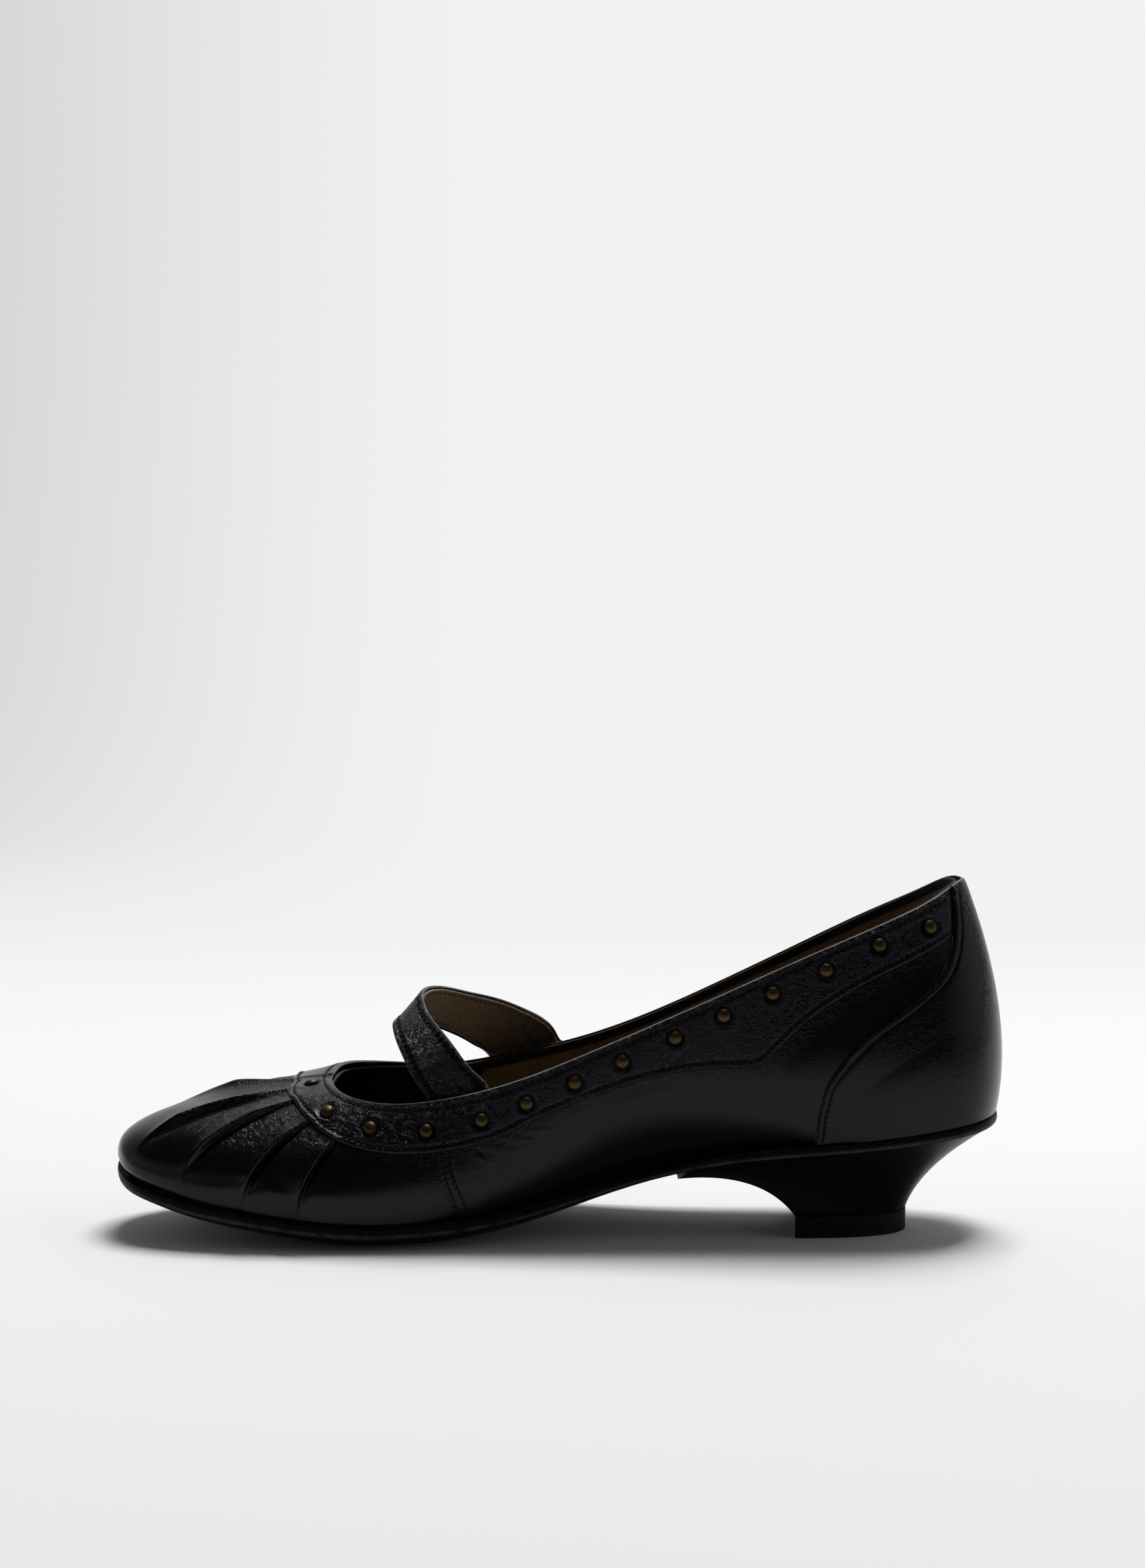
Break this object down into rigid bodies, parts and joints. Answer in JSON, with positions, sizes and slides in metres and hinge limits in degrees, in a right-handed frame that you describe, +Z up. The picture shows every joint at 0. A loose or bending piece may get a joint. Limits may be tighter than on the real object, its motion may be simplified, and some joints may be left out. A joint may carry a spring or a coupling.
{
  "type": "low-heeled strap pump",
  "caption": "Right low-heeled leather pump with a pleated round toe, a studded band round the topline and a strap over the instep.",
  "frame": {"origin": "on the floor under the middle of the shoe's box", "axes": "+Z up; toe towards -X, heel towards +X; the inner (medial) side towards -Y, the outer side towards +Y"},
  "size_m": [0.25, 0.0799, 0.0997],
  "materials": {
    "upper_leather": "soft black full-grain leather with a low sheen, creased at the pleats",
    "band_leather": "soft black leather band, stitched along both edges",
    "counter_leather": "soft black leather over a stiffener, stitched along its front edge",
    "strap_leather": "soft black leather outside with a tan lining underneath",
    "insole_leather": "matt tan lining leather, darkened by wear",
    "outsole_leather": "thin leather sole with a black waxed edge",
    "heel_covering": "heel block covered in the same black leather",
    "top_piece_rubber": "matt black hard rubber",
    "stud_brass": "antique brass, dark in the hollows"
  },
  "bodies": {
    "root": {"upper": "upper_leather", "collar_band": "band_leather", "heel_counter": "counter_leather", "strap": "strap_leather", "insole": "insole_leather", "outsole": "outsole_leather", "heel_block": "heel_covering", "top_piece": "top_piece_rubber", "stud_01": "stud_brass", "stud_02": "stud_brass", "stud_03": "stud_brass", "stud_04": "stud_brass", "stud_05": "stud_brass", "stud_06": "stud_brass", "stud_07": "stud_brass", "stud_08": "stud_brass", "stud_09": "stud_brass", "stud_10": "stud_brass", "stud_11": "stud_brass", "stud_12": "stud_brass", "stud_13": "stud_brass", "stud_14": "stud_brass", "stud_15": "stud_brass", "stud_16": "stud_brass", "stud_17": "stud_brass", "stud_18": "stud_brass", "stud_19": "stud_brass", "stud_20": "stud_brass", "stud_21": "stud_brass", "stud_22": "stud_brass", "stud_23": "stud_brass", "stud_24": "stud_brass", "stud_25": "stud_brass", "stud_26": "stud_brass"}
  },
  "joints": []
}
